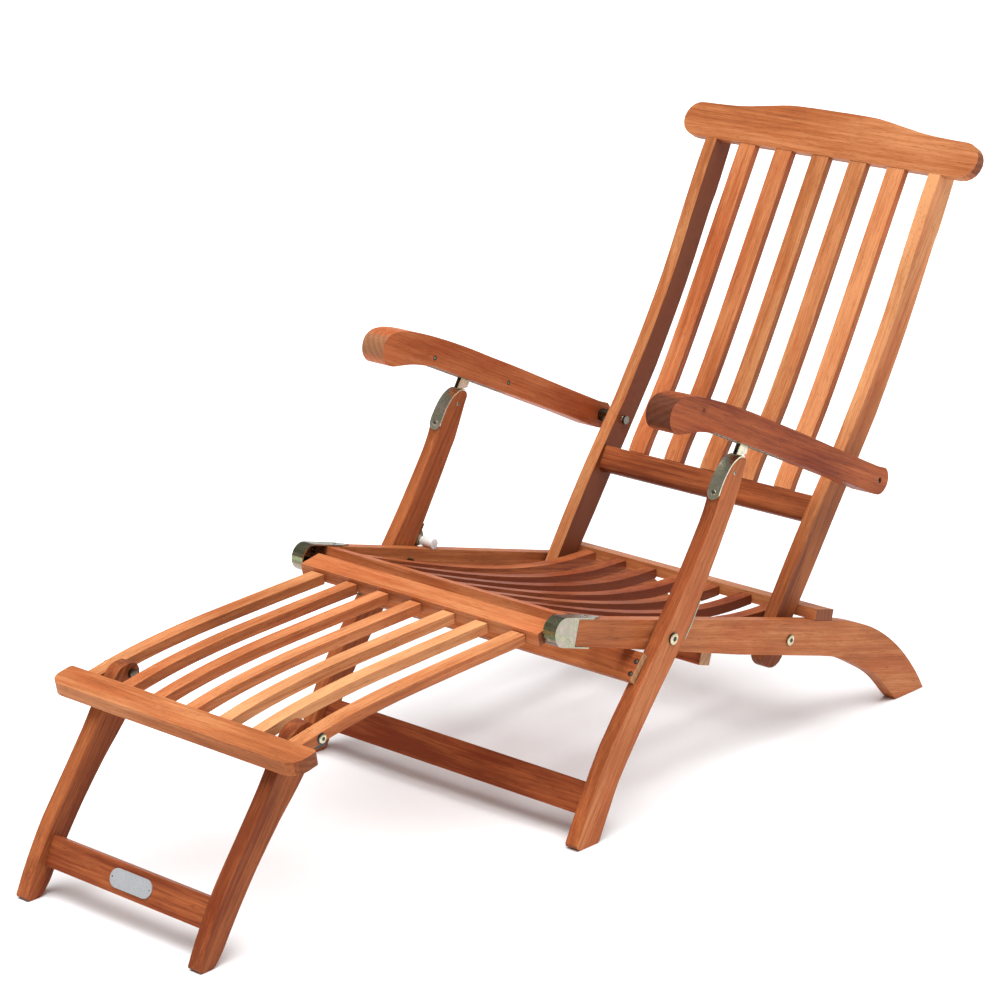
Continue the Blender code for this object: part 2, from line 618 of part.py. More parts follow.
def footrest_leg_frame():
    """Two tapering legs, round at the top, joined by a stretcher that carries a plain badge."""
    shoulder = flow([(-0.6225, 0.2800), (-0.6295, 0.2775), (-0.6370, 0.2722), (-0.6425, 0.2660)], 2)
    shoulder += [(-0.6443, 0.2610), (-0.6436, 0.2490), (-0.6470, 0.2482)]
    front = flow([(-0.6560, 0.2450), (-0.6630, 0.2340), (-0.6705, 0.2220), (-0.6840, 0.2010),
                  (-0.7205, 0.1500), (-0.7575, 0.0990), (-0.7765, 0.0670), (-0.7930, 0.0360),
                  (-0.8030, 0.0145), (-0.8070, 0.0055)], 2)
    foot = [(-0.8066, 0.0026), (-0.8040, 0.0008), (-0.8005, 0.0), (-0.7900, 0.0), (-0.7850, 0.0006),
            (-0.7808, 0.0028)]
    rear = flow([(-0.7775, 0.0062), (-0.7670, 0.0190), (-0.7590, 0.0320), (-0.7400, 0.0620),
                 (-0.7060, 0.1110), (-0.6650, 0.1620), (-0.6421, 0.1870), (-0.6180, 0.2150),
                 (-0.6050, 0.2370), (-0.5990, 0.2540)], 2)
    crown = arc(FOOTREST_LEG_PIVOT, 0.0143, -12, 105, 8)
    outline = front[::-1] + shoulder[::-1] + crown[::-1] + rear[::-1] + foot[::-1]
    for word, side in SIDES.items():
        board(f"footrest_leg_{word}", outline, sided(FOOTREST_LEG_X, side), footrest_legs,
              holes=[bolt_hole(FOOTREST_LEG_PIVOT)])
    inner = FOOTREST_LEG_X[0] - GAP
    lean = math.radians(65)
    corner = Vector((-0.7578, 0.0803))
    stretcher = slab(tuple(corner), lean + math.pi, 0.0415, -0.0180)
    board("footrest_stretcher", stretcher, (-inner, inner), footrest_legs)
    badge(corner, lean)


def badge(corner, lean):
    """A plain oval plate on the front face of the stretcher."""
    half, radius = 0.0390, 0.0128
    outline = arc((half - radius, 0.0), radius, 90, -90, 8) + arc((radius - half, 0.0), radius, 270, 90, 8)
    made = outline_curve("footrest_badge", outline, 0.0012)
    made.rotation_euler = (lean, 0.0, 0.0)
    along = Vector((math.cos(lean), math.sin(lean)))
    outward = Vector((-along.y, along.x))
    middle = corner - along * 0.0210 + outward * (0.0006 + GAP)
    made.location = (0.0070, middle.x, middle.y)
    finish(made, footrest_legs, "badge")


# ---- bolts --------------------------------------------------------------------------
def bolts():
    """Pivot bolts, each with a domed head outside and a nut inside."""
    r, head, nut = BOLT_RADIUS, BOLT_HEAD_RADIUS, 0.0065
    for word, side in SIDES.items():
        bolt(f"leg_pivot_bolt_{word}", LEG_PIVOT, side,
             [(RAIL_X[0] - 0.0055, nut), (RAIL_X[0] - GAP, nut), (RAIL_X[0] - GAP, r),
              (LEG_X[1] + GAP, r), (LEG_X[1] + GAP, head), (LEG_X[1] + 0.0016, head),
              (LEG_X[1] + 0.0030, head * 0.6)], seat_frame)
        bolt(f"back_pivot_bolt_{word}", BACK_PIVOT, side,
             [(STILE_X[0] - 0.0055, nut), (STILE_X[0] - GAP, nut), (STILE_X[0] - GAP, r),
              (STILE_X[1] + GAP, r), (STILE_X[1] + GAP, head), (RAIL_X[0] - GAP, head),
              (RAIL_X[0] - GAP, r), (RAIL_X[1] + GAP, r), (RAIL_X[1] + GAP, 0.0075),
              (RAIL_X[1] + 0.0012, 0.0075), (RAIL_X[1] + 0.0022, 0.0045)], back_hinge)
        bolt(f"armrest_bolt_{word}", ARM_PIVOT, side,
             [(STILE_X[0] - 0.0055, nut), (STILE_X[0] - GAP, nut), (STILE_X[0] - GAP, r),
              (STILE_X[1] + GAP, r), (STILE_X[1] + GAP, 0.0100), (ARM_X[0] - GAP, 0.0100),
              (ARM_X[0] - GAP, r), (ARM_X[1] - 0.0030, r)], arm_hinge)
        outer = FOOTREST_SLAT_X[-1] + FOOTREST_OUTER_WIDTH / 2
        bolt(f"footrest_leg_bolt_{word}", FOOTREST_LEG_PIVOT, side,
             [(FOOTREST_LEG_X[0] - 0.0055, nut), (FOOTREST_LEG_X[0] - GAP, nut), (FOOTREST_LEG_X[0] - GAP, r),
              (outer + GAP, r), (outer + GAP, FOOTREST_BOLT_HEAD), (outer + 0.0016, FOOTREST_BOLT_HEAD),
              (outer + 0.0030, FOOTREST_BOLT_HEAD * 0.6)], footrest)


side_rails()
seat_cross_rails()
seat_slats()
rail_cups()
front_leg_boards()
leg_cross_bars()
leg_heads()
leg_stops()
stiles()
back_slats()
back_lower_rail()
crest_rail()
armrests()
footrest_frame()
footrest_pins()
footrest_leg_frame()
bolts()
bpy.context.view_layer.update()
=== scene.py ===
"""Looks of the folding deck chair: oiled hardwood, plated fittings, screws, light and camera."""

import math

import bmesh
import bpy
from mathutils import Matrix, Vector


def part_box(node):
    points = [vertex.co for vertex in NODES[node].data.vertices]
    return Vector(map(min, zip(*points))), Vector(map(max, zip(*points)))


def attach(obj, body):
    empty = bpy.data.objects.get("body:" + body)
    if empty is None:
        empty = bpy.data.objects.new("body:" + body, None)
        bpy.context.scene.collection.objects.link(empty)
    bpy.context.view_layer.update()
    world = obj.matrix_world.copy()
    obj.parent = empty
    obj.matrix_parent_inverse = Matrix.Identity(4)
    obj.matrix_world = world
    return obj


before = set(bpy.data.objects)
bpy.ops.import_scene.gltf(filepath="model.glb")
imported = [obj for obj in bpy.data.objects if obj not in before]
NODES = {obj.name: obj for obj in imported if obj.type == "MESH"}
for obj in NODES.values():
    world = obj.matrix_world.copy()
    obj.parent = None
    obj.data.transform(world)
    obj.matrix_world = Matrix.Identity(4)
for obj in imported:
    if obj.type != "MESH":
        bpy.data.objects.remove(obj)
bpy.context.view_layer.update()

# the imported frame's origin is the middle of the footprint: side-view sizes are measured
# from the front leg's pivot, which lies this far behind that middle
SHIFT = 0.0411
SIDES = {"left": 1, "right": -1}


# ---- node helpers ---------------------------------------------------------------------
class Tree:
    """Short calls for building a node tree."""

    def __init__(self, name):
        self.material = bpy.data.materials.new(name)
        self.material.use_nodes = True
        self.nodes = self.material.node_tree.nodes
        self.links = self.material.node_tree.links
        self.shader = self.nodes["Principled BSDF"]

    def add(self, kind, **settings):
        node = self.nodes.new(kind)
        for key, value in settings.items():
            setattr(node, key, value)
        return node

    def put(self, socket, value):
        if isinstance(value, bpy.types.NodeSocket):
            self.links.new(value, socket)
        else:
            socket.default_value = value

    def maths(self, operation, a, b=0.0, c=0.0):
        node = self.add("ShaderNodeMath", operation=operation)
        for socket, value in zip(node.inputs, (a, b, c)):
            self.put(socket, value)
        return node.outputs[0]

    def scaled(self, vector, scale, offset=(0.0, 0.0, 0.0), turn=(0.0, 0.0, 0.0)):
        node = self.add("ShaderNodeMapping")
        self.put(node.inputs["Vector"], vector)
        node.inputs["Scale"].default_value = scale
        node.inputs["Location"].default_value = offset
        node.inputs["Rotation"].default_value = turn
        return node.outputs[0]

    def noise(self, vector, scale, detail=3.0, roughness=0.5, distortion=0.0, colour=False):
        node = self.add("ShaderNodeTexNoise")
        self.put(node.inputs["Vector"], vector)
        node.inputs["Scale"].default_value = scale
        node.inputs["Detail"].default_value = detail
        node.inputs["Roughness"].default_value = roughness
        node.inputs["Distortion"].default_value = distortion
        return node.outputs["Color" if colour else 0]

    def ramp(self, value, *stops):
        node = self.add("ShaderNodeValToRGB")
        self.put(node.inputs[0], value)
        elements = node.color_ramp.elements
        while len(elements) < len(stops):
            elements.new(0.5)
        for element, (place, colour) in zip(elements, stops):
            element.position = place
            element.color = colour if len(colour) == 4 else (*colour, 1.0)
        return node.outputs[0]

    def level(self, value, low, high, out_low=0.0, out_high=1.0):
        node = self.add("ShaderNodeMapRange")
        for socket, item in zip(node.inputs, (value, low, high, out_low, out_high)):
            self.put(socket, item)
        return node.outputs[0]

    def mix(self, factor, a, b, blend="MIX"):
        node = self.add("ShaderNodeMix", data_type="RGBA", blend_type=blend)
        self.put(node.inputs[0], factor)
        self.put(node.inputs[6], a)
        self.put(node.inputs[7], b)
        return node.outputs[2]

    def bump(self, height, strength, distance, normal=None):
        node = self.add("ShaderNodeBump")
        node.inputs["Strength"].default_value = strength
        node.inputs["Distance"].default_value = distance
        self.put(node.inputs["Height"], height)
        if normal is not None:
            self.put(node.inputs["Normal"], normal)
        return node.outputs[0]


# ---- wood -----------------------------------------------------------------------------
def fraction(number):
    """A repeatable spread of values between 0 and 1."""
    return (math.sin(number * 12.9898 + 4.1) * 43758.5453) % 1.0


# deep, middle and pale: each channel for a red-brown and for a yellow-brown piece
HUES = (((0.160, 0.165), (0.028, 0.044), (0.0100, 0.0150)),
        ((0.385, 0.380), (0.096, 0.130), (0.0300, 0.0440)),
        ((0.650, 0.655), (0.240, 0.318), (0.0950, 0.1400)))
# the dark and the light of end grain: soaked with oil and partly painted shade (used for dark ends, as on the
# near armrest's nose), usual, and dry
END_COLOURS = (((0.022, 0.009, 0.006), (0.070, 0.020, 0.010), (0.300, 0.150, 0.070)),
               ((0.075, 0.030, 0.018), (0.240, 0.070, 0.030), (0.560, 0.340, 0.180)))


def wood(name, angle, middle, seed, tone=0.5, red=0.5, along_x=False, knots=(), painted_side_shade=0.0,
         pale_ends=0.0, fade=0.0):
    """Oiled hardwood whose grain runs along the piece: angle is its slope in the side view.

    tone runs from dark to pale and red from yellow-brown to red-brown. Each knot is a point
    of the frame and a radius. The side-shade number paints shade on the faces that look
    sideways by darkening them, and paints light on them below 0. pale_ends makes end grain
    dry and pale (below 0: dark, reaching further round a rounded end, which partly paints
    shade there), and fade is the change of tone for each metre along the grain.
    """
    tree = Tree(name)
    coordinates = tree.add("ShaderNodeTexCoord").outputs["Object"]
    # the piece's own axes, with x along the grain
    centred = tree.add("ShaderNodeVectorMath", operation="SUBTRACT")
    tree.put(centred.inputs[0], coordinates)
    centred.inputs[1].default_value = middle
    place = centred.outputs[0]
    if not along_x:
        place = tree.scaled(place, (1, 1, 1), turn=(-angle, 0.0, 0.0))
        place = tree.scaled(place, (1, 1, 1), turn=(0.0, 0.0, -math.pi / 2))
    loose = tree.scaled(place, (2.6, 11.0, 11.0), offset=(seed * 7.3, seed * 3.1, 0.0))
    wander = tree.noise(loose, 1.0, 2.0, colour=True)
    spread = tree.add("ShaderNodeVectorMath", operation="MULTIPLY_ADD")
    tree.put(spread.inputs[0], wander)
    spread.inputs[1].default_value = (0.0, 0.011, 0.011)
    tree.put(spread.inputs[2], place)
    bent = spread.outputs[0]
    # growth rings: bands round a heart that lies outside the piece
    rings_at = tree.scaled(bent, (0.35, 1.0, 1.0),
                           offset=(seed, 0.05 + 0.09 * fraction(seed + 1), 0.06 * fraction(seed + 2)),
                           turn=(0.5 + 2.3 * fraction(seed + 3), 0.0, 0.0))
    waves = tree.add("ShaderNodeTexWave", wave_type="RINGS", rings_direction="X")
    tree.put(waves.inputs["Vector"], rings_at)
    waves.inputs["Scale"].default_value = 34.0
    waves.inputs["Distortion"].default_value = 1.6
    waves.inputs["Detail"].default_value = 3.0
    waves.inputs["Detail Scale"].default_value = 1.3
    rings = waves.outputs["Fac"]
    # broad figure, streaks, fibres and short dark pores, all long in the grain
    slow = tree.noise(tree.scaled(place, (5.0, 22.0, 22.0), offset=(seed * 11.0, 0, 0)), 1.0, 2.0)
    streaks = tree.noise(tree.scaled(bent, (3.0, 130.0, 130.0), offset=(seed * 2.0, seed, 0)), 1.0, 3.0, 0.6)
    lines = tree.noise(tree.scaled(bent, (9.0, 380.0, 380.0), offset=(0, seed * 4.0, seed)), 1.0, 2.0, 0.5)
    fibres = tree.noise(tree.scaled(bent, (34.0, 900.0, 900.0), offset=(seed * 5.0, 0, seed)), 1.0, 3.0, 0.6)
    pores = tree.noise(tree.scaled(bent, (60.0, 1500.0, 1500.0), offset=(0, seed, seed)), 1.0, 1.0)
    blush = tree.noise(tree.scaled(place, (7.0, 34.0, 34.0), offset=(0, seed * 9.0, 0)), 1.0, 3.0)
    value = tree.maths("MULTIPLY_ADD", tree.level(streaks, 0.30, 0.70), 0.15, tone - 0.42)
    value = tree.maths("MULTIPLY_ADD", tree.level(slow, 0.28, 0.72), 0.36, value)
    value = tree.maths("MULTIPLY_ADD", tree.level(lines, 0.32, 0.68), 0.20, value)
    value = tree.maths("MULTIPLY_ADD", rings, -0.07, value)
    value = tree.maths("MULTIPLY_ADD", tree.level(fibres, 0.25, 0.75), 0.22, value)
    if fade:
        lengthways = tree.add("ShaderNodeSeparateXYZ")
        tree.put(lengthways.inputs[0], place)
        value = tree.maths("MULTIPLY_ADD", lengthways.outputs["X"], fade, value)
    # painted shade: faces that look sideways are darkened (below 0 they are lightened, as painted light)
    if painted_side_shade:
        sideways = tree.add("ShaderNodeSeparateXYZ")
        tree.put(sideways.inputs[0], tree.add("ShaderNodeTexCoord").outputs["Normal"])
        across = tree.level(tree.maths("ABSOLUTE", sideways.outputs["X"]), 0.45, 0.85)
        value = tree.maths("MULTIPLY_ADD", across, -painted_side_shade, value)
    deep, mid, pale = (tuple(a * red + b * (1.0 - red) for a, b in hue) for hue in HUES)
    colour = tree.ramp(value, (0.0, deep), (0.46, mid), (1.0, pale))
    rosy = tree.mix(0.70, colour, (1.0, 0.66, 0.55, 1.0), "MULTIPLY")
    colour = tree.mix(tree.level(blush, 0.48, 0.72, 0.0, 0.60), colour, rosy)
    pore_mask = tree.level(pores, 0.63, 0.71, 0.0, 1.0)
    colour = tree.mix(tree.maths("MULTIPLY", pore_mask, 0.55), colour, (0.070, 0.017, 0.008, 1.0))
    for point, radius in knots:
        offset = tree.add("ShaderNodeVectorMath", operation="SUBTRACT")
        tree.put(offset.inputs[0], coordinates)
        offset.inputs[1].default_value = point
        reach = tree.add("ShaderNodeVectorMath", operation="LENGTH")
        tree.put(reach.inputs[0], offset.outputs[0])
        ragged = tree.maths("MULTIPLY_ADD", tree.noise(coordinates, 420.0, 2.0), radius * 0.9,
                            reach.outputs["Value"])
        halo = tree.level(ragged, radius * 0.6, radius * 3.2, 0.55, 0.0)
        colour = tree.mix(halo, colour, (0.150, 0.030, 0.012, 1.0))
        colour = tree.mix(tree.level(ragged, radius * 0.5, radius * 1.4, 0.85, 0.0), colour,
                          (0.030, 0.009, 0.005, 1.0))
    # end grain is darker, with the rings showing: where the surface faces along the grain
    normal_at = tree.add("ShaderNodeTexCoord").outputs["Normal"]
    axis = (1.0, 0.0, 0.0) if along_x else (0.0, math.cos(angle), math.sin(angle))
    facing = tree.add("ShaderNodeVectorMath", operation="DOT_PRODUCT")
    tree.put(facing.inputs[0], normal_at)
    facing.inputs[1].default_value = axis
    # dark ends reach further round a rounded end: there they partly paint the shade on the near armrest's
    # nose
    start = 0.60 if pale_ends >= 0.0 else 0.30
    ends = tree.level(tree.maths("ABSOLUTE", facing.outputs["Value"]), start, start + 0.28)
    speckle = tree.noise(tree.scaled(place, (900.0, 900.0, 900.0)), 1.0, 2.0)
    end_value = tree.maths("MULTIPLY_ADD", rings, -0.5, tree.level(speckle, 0.3, 0.7))
    dark_end, light_end = (
        tuple(a + (b - a) * abs(pale_ends) for a, b in zip(usual, dry if pale_ends > 0 else oiled_and_shaded))
        for oiled_and_shaded, usual, dry in END_COLOURS)
    end_colour = tree.mix(tree.level(end_value, -0.6, 1.0), (*dark_end, 1.0), (*light_end, 1.0))
    colour = tree.mix(tree.maths("MULTIPLY", ends, 0.85), colour, end_colour)
    tree.put(tree.shader.inputs["Base Color"], colour)
    roughness = tree.level(lines, 0.25, 0.75, 0.38, 0.54)
    tree.put(tree.shader.inputs["Roughness"], tree.maths("MULTIPLY_ADD", pore_mask, 0.18, roughness))
    tree.shader.inputs["Specular IOR Level"].default_value = 0.09
    normal = tree.bump(fibres, 0.30, 0.00015)
    normal = tree.bump(lines, 0.30, 0.0003, normal)
    normal = tree.bump(tree.maths("MULTIPLY", pore_mask, -1.0), 0.45, 0.00015, normal)
    tree.put(tree.shader.inputs["Normal"], normal)
    return tree.material


# ---- metals and plastics --------------------------------------------------------------
# painted reflections on the plating: tints from faces that look down to faces that look up
PAINTED_REFLECTION_TINTS = ((0.18, (0.78, 0.62, 0.66)), (0.34, (0.86, 0.74, 0.72)), (0.44, (0.30, 0.42, 0.24)),
              (0.54, (0.66, 0.84, 0.50)), (0.66, (1.0, 0.96, 0.66)), (0.84, (0.44, 0.50, 0.32)),
              (0.97, (0.60, 0.56, 0.48)))


def plated(name, yellow=0.5, scale=1.0, shade=1.0, reflection_strength=0.85):
    """Zinc plating with a yellow and faintly iridescent passivation.

    The reflection strength is how much painted reflection tints the faces that do not look sideways, by how
    far they look up or down.
    """
    tree = Tree(name)
    coordinates = tree.add("ShaderNodeTexCoord").outputs["Object"]
    cloud = tree.noise(tree.scaled(coordinates, (60 * scale,) * 3), 1.0, 5.0, 0.68, 0.4)
    fine = tree.noise(tree.scaled(coordinates, (900.0, 900.0, 900.0)), 1.0, 2.0)
    brushed = tree.noise(tree.scaled(coordinates, (2600.0, 160.0, 160.0)), 1.0, 2.0)
    stops = ((0.30, (0.50, 0.47, 0.38)), (0.42, (0.60, 0.54, 0.38)), (0.50, (0.44, 0.46, 0.32)),
             (0.58, (0.58, 0.46, 0.42)), (0.66, (0.64, 0.57, 0.42)), (0.76, (0.42, 0.42, 0.34)))
    shaded = ((place, tuple(shade * channel for channel in tint)) for place, tint in stops)
    colour = tree.ramp(cloud, *shaded)
    colour = tree.mix(1.0 - yellow, colour, (0.52 * shade, 0.50 * shade, 0.46 * shade, 1.0))
    # painted reflections: faces that do not look sideways take other tints by how far they look up or down
    facing_parts = tree.add("ShaderNodeSeparateXYZ")
    tree.put(facing_parts.inputs[0], tree.add("ShaderNodeTexCoord").outputs["Normal"])
    tint = tree.ramp(tree.level(facing_parts.outputs["Z"], -1.0, 1.0), *PAINTED_REFLECTION_TINTS)
    reflection_mask = tree.level(tree.maths("ABSOLUTE", facing_parts.outputs["X"]), 0.35, 0.75, reflection_strength, 0.0)
    colour = tree.mix(reflection_mask, colour, tint, "MULTIPLY")
    spots = tree.noise(tree.scaled(coordinates, (240.0, 240.0, 240.0)), 1.0, 4.0)
    colour = tree.mix(tree.level(spots, 0.60, 0.74, 0.0, 0.55), colour, (0.12, 0.10, 0.06, 1.0))
    tree.put(tree.shader.inputs["Base Color"], colour)
    tree.shader.inputs["Metallic"].default_value = 1.0
    tree.put(tree.shader.inputs["Roughness"], tree.level(cloud, 0.25, 0.75, 0.20, 0.36))
    normal = tree.bump(fine, 0.12, 0.0001)
    normal = tree.bump(brushed, 0.10, 0.00006, normal)
    tree.put(tree.shader.inputs["Normal"], normal)
    return tree.material


def plain(name, colour, roughness, metallic=0.0, grain=700.0, variation=0.08, bump=0.12):
    """A moulded or coated surface with a fine texture and slight changes of tone."""
    tree = Tree(name)
    coordinates = tree.add("ShaderNodeTexCoord").outputs["Object"]
    cloud = tree.noise(tree.scaled(coordinates, (45.0, 45.0, 45.0)), 1.0, 3.0)
    fine = tree.noise(tree.scaled(coordinates, (grain,) * 3), 1.0, 2.0)
    darker = tuple(channel * (1.0 - variation * 2) for channel in colour)
    shade = tree.mix(tree.level(cloud, 0.3, 0.7), (*darker, 1.0), (*colour, 1.0))
    tree.put(tree.shader.inputs["Base Color"], shade)
    tree.shader.inputs["Metallic"].default_value = metallic
    tree.put(tree.shader.inputs["Roughness"], tree.level(fine, 0.3, 0.7, roughness * 0.85, roughness * 1.15))
    tree.put(tree.shader.inputs["Normal"], tree.bump(fine, bump, 0.00012))
    return tree.material


ZINC = plated("zinc_passivated", 0.96, 1.0, 0.66)
HEAD_ZINC = plated("zinc_passivated_heads", 0.92, 1.2, 1.20, 0.25)
BRASSY = plated("yellow_passivated", 0.95, 1.6, 0.80)
STEEL = plated("screw_steel", 0.45, 2.0, 1.05)
BRIGHT = plated("bolt_yellow_zinc", 0.90, 2.0, 1.55)
# painted shade: the dark of screw crosses, hex sockets, wells and holes
RECESS_SHADE = plain("painted_recess_shade", (0.012, 0.010, 0.009), 0.55, variation=0.05)
BLACK = plain("black_plastic", (0.020, 0.018, 0.017), 0.42)
WHITE = plain("white_plastic", (0.80, 0.80, 0.77), 0.36, variation=0.03)
BADGE = plain("badge_satin", (0.58, 0.59, 0.61), 0.30, metallic=0.55, grain=1400.0, variation=0.04)
# dark, dull steel for the imported bolts and the badge pins; on the bolt ends in their holes the darkness is
# partly painted shade
DULL_AND_SHADED = plated("bolt_end_dull_and_shaded", 0.45, 2.0, 0.28)
PLATINGS = {"armrest_channel": BRASSY, "leg_head": HEAD_ZINC}


# ---- finishes on the imported nodes -------------------------------------------------------
# for each kind of wooden piece: slope of its grain in the side view in degrees, or "x", its tone
# from dark to pale, and how red it is. The low tones of the stretchers, the seat batten, the seat
# slats and the lower back rail, which lie under other pieces, are partly their darker wood and
# partly painted shade
WOODS = (
    ("side_rail", -14.6, 0.40, 0.45), ("front_leg", 56.0, 0.44, 0.50), ("leg_stop_bar", "x", 0.40, 0.50),
    ("leg_stretcher", "x", 0.04, 0.80), ("seat_front_rail", "x", 0.44, 0.60),
    ("seat_rear_rail", "x", 0.56, 0.45), ("seat_batten", "x", 0.20, 0.80), ("seat_slat", -13.0, 0.14, 0.60),
    ("back_stile", 58.0, 0.50, 0.35), ("back_slat", 60.0, 0.72, 0.40), ("back_lower_rail", "x", 0.20, 0.50),
    ("crest_rail", "x", 0.52, 0.35), ("armrest", -24.0, 0.54, 0.90), ("footrest_rear_rail", "x", 0.50, 0.45),
    ("footrest_slat", 4.0, 0.70, 0.40), ("footrest_board", "x", 0.50, 0.35),
    ("footrest_leg", 55.0, 0.36, 0.65), ("footrest_stretcher", "x", 0.06, 0.65),
)
# pieces that stand out from their kind: tone and redness
SINGLES = {"back_stile_left": (0.68, 0.18), "back_stile_right": (0.50, 0.10), "back_slat_1": (0.56, 0.75),
           "back_slat_2": (0.56, 0.60), "back_slat_3": (0.56, 0.10), "back_slat_4": (0.62, 0.18),
           "back_slat_5": (0.86, 0.55), "footrest_slat_5": (0.86, 0.15),
           "footrest_slat_6": (0.92, 0.05), "footrest_slat_7": (0.66, 0.35),
           "footrest_slat_1": (0.54, 0.15), "footrest_slat_3": (0.62, 0.60),
           "footrest_slat_2": (0.58, 0.40), "seat_slat_1": (0.30, 0.60),
           "front_leg_left": (0.21, 0.50), "footrest_leg_left": (0.12, 0.40), "armrest_left": (0.22, 0.90),
           "footrest_leg_right": (0.18, 0.40), "front_leg_right": (0.36, 0.55)}
# change of tone for each metre along the grain
FADES = {"back_stile_left": 1.15, "crest_rail": 0.38, "front_leg_left": -0.10}
KNOTS = {"armrest_left": (((0.2855, 0.0815, 0.5740), 0.0042),),
         "back_stile_left": (((0.2090, 0.5550, 0.5830), 0.0022),)}
# painted shade on the sideways faces: how much darker they are, by piece or by kind (below 0: painted light,
# lighter)
PAINTED_SIDE_SHADES = {"front_leg_left": -0.23, "back_stile_right": 0.80, "back_stile_left": 0.20,
          "seat_slat": 0.16, "back_slat": 0.30,
          "footrest_slat": 0.20, "footrest_leg": 0.04}
# armrest_left's dark ends are partly oiled end grain and partly painted shade on its rounded nose
PALE_ENDS = {"armrest_left": -0.8, "leg_stop_bar": 1.0, "armrest_right": 0.40, "seat_batten": 1.0}
METAL_WORDS = ("rail_cup", "leg_head", "stop_bracket", "armrest_channel")


def middle_of(name):
    low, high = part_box(name)
    return tuple((a + b) / 2 for a, b in zip(low, high))


def soften(node, width, segments=2):
    """Joins the flat triangles into faces and rounds the edges, then shades smooth."""
    flat = node.modifiers.new("join flat faces", "DECIMATE")
    flat.decimate_type = "DISSOLVE"
    flat.angle_limit = math.radians(1.0)
    edge = node.modifiers.new("soft edges", "BEVEL")
    edge.width = width
    edge.segments = segments
    edge.limit_method = "ANGLE"
    edge.angle_limit = math.radians(38)
    edge.use_clamp_overlap = True
    edge.harden_normals = True
    edge.miter_outer = "MITER_ARC"
    for face in node.data.polygons:
        face.use_smooth = True
    smooth = node.modifiers.new("keep flats", "WEIGHTED_NORMAL")
    smooth.keep_sharp = True


def is_wood(name):
    return next((kind for kind in WOODS if name.startswith(kind[0])), None)


EDGE = {"crest_rail": 0.0032, "armrest": 0.0040, "footrest_board": 0.0036, "seat_slat": 0.0024,
        "footrest_slat": 0.0026, "back_slat": 0.0026, "back_stile": 0.0026, "front_leg": 0.0026,
        "side_rail": 0.0024, "footrest_leg": 0.0026}

for number, (name, node) in enumerate(sorted(NODES.items())):
    kind = is_wood(name) if not name.startswith(METAL_WORDS) and "bolt" not in name else None
    node.data.materials.clear()
    if kind:
        word, slope, tone, red = kind
        tone += 0.14 * (fraction(number + 0.37) - 0.5)
        red += 0.30 * (fraction(number + 0.71) - 0.5)
        tone, red = SINGLES.get(name, (tone, red))
        along_x = slope == "x"
        made = wood(f"wood_{name}", 0.0 if along_x else math.radians(slope), middle_of(name),
                    number * 1.37 + 0.5, tone, max(0.0, red), along_x, KNOTS.get(name, ()),
                    PAINTED_SIDE_SHADES.get(name, PAINTED_SIDE_SHADES.get(word, 0.0)), PALE_ENDS.get(name, 0.0), FADES.get(name, 0.0))
        node.data.materials.append(made)
        soften(node, EDGE.get(word, 0.0020), 3)
    elif name.startswith(METAL_WORDS):
        node.data.materials.append(PLATINGS.get(name.rsplit("_", 1)[0], ZINC))
        soften(node, 0.0005, 2)
    elif name.startswith("stop_sleeve"):
        node.data.materials.append(WHITE)
        soften(node, 0.0012, 3)
    elif name == "footrest_badge":
        node.data.materials.append(BADGE)
        soften(node, 0.0004, 2)
    else:
        # bolts: dark, dull steel, partly painting the shade in their holes
        node.data.materials.append(DULL_AND_SHADED)
        soften(node, 0.0005, 2)


# ---- screws and bolt heads ------------------------------------------------------------
def link(name, data, material):
    made = bpy.data.objects.new(name, data)
    bpy.context.scene.collection.objects.link(made)
    made.data.materials.append(material)
    return made


def turned(name, profile, material, steps=28):
    """A turned piece about local z from (radius, height) pairs, listed from its axis outwards."""
    data = bpy.data.meshes.new(name)
    shape = bmesh.new()
    verts = [shape.verts.new((radius, 0.0, height)) for radius, height in profile]
    for a, b in zip(verts, verts[1:]):
        shape.edges.new((a, b))
    bmesh.ops.spin(shape, geom=shape.verts[:] + shape.edges[:], cent=(0, 0, 0), axis=(0, 0, 1),
                   angle=math.tau, steps=steps, use_merge=False, use_duplicate=False)
    bmesh.ops.remove_doubles(shape, verts=shape.verts, dist=0.00001)
    bmesh.ops.recalc_face_normals(shape, faces=shape.faces)
    shape.to_mesh(data)
    shape.free()
    for face in data.polygons:
        face.use_smooth = True
    made = link(name, data, material)
    data.set_sharp_from_angle(angle=math.radians(42))
    return made


def face_towards(made, place, direction, spin=0.0):
    """Puts a piece at a point of the frame with its local z along a direction."""
    turn = Vector(direction).to_track_quat("Z", "Y").to_matrix().to_4x4()
    made.matrix_world = Matrix.Translation(Vector(place)) @ turn @ Matrix.Rotation(spin, 4, "Z")
    return made


def drive_cross(name, radius, depth, material):
    """The cross recess of a wood screw, as a shallow cross with rounded arms, dark with painted shade."""
    data = bpy.data.meshes.new(name)
    shape = bmesh.new()
    arm, half = radius, radius * 0.24
    ring = []
    for quarter in range(4):
        angle = quarter * math.pi / 2
        for u, v in ((arm, -half), (arm, half), (half, half)):
            ring.append((u * math.cos(angle) - v * math.sin(angle),
                         u * math.sin(angle) + v * math.cos(angle)))
    top = shape.faces.new([shape.verts.new((u, v, depth)) for u, v in ring])
    extruded = bmesh.ops.extrude_face_region(shape, geom=[top])
    moved = [item for item in extruded["geom"] if isinstance(item, bmesh.types.BMVert)]
    for vert in moved:
        vert.co = (vert.co.x * 0.72, vert.co.y * 0.72, 0.0)
    bmesh.ops.recalc_face_normals(shape, faces=shape.faces)
    shape.to_mesh(data)
    shape.free()
    return link(name, data, material)


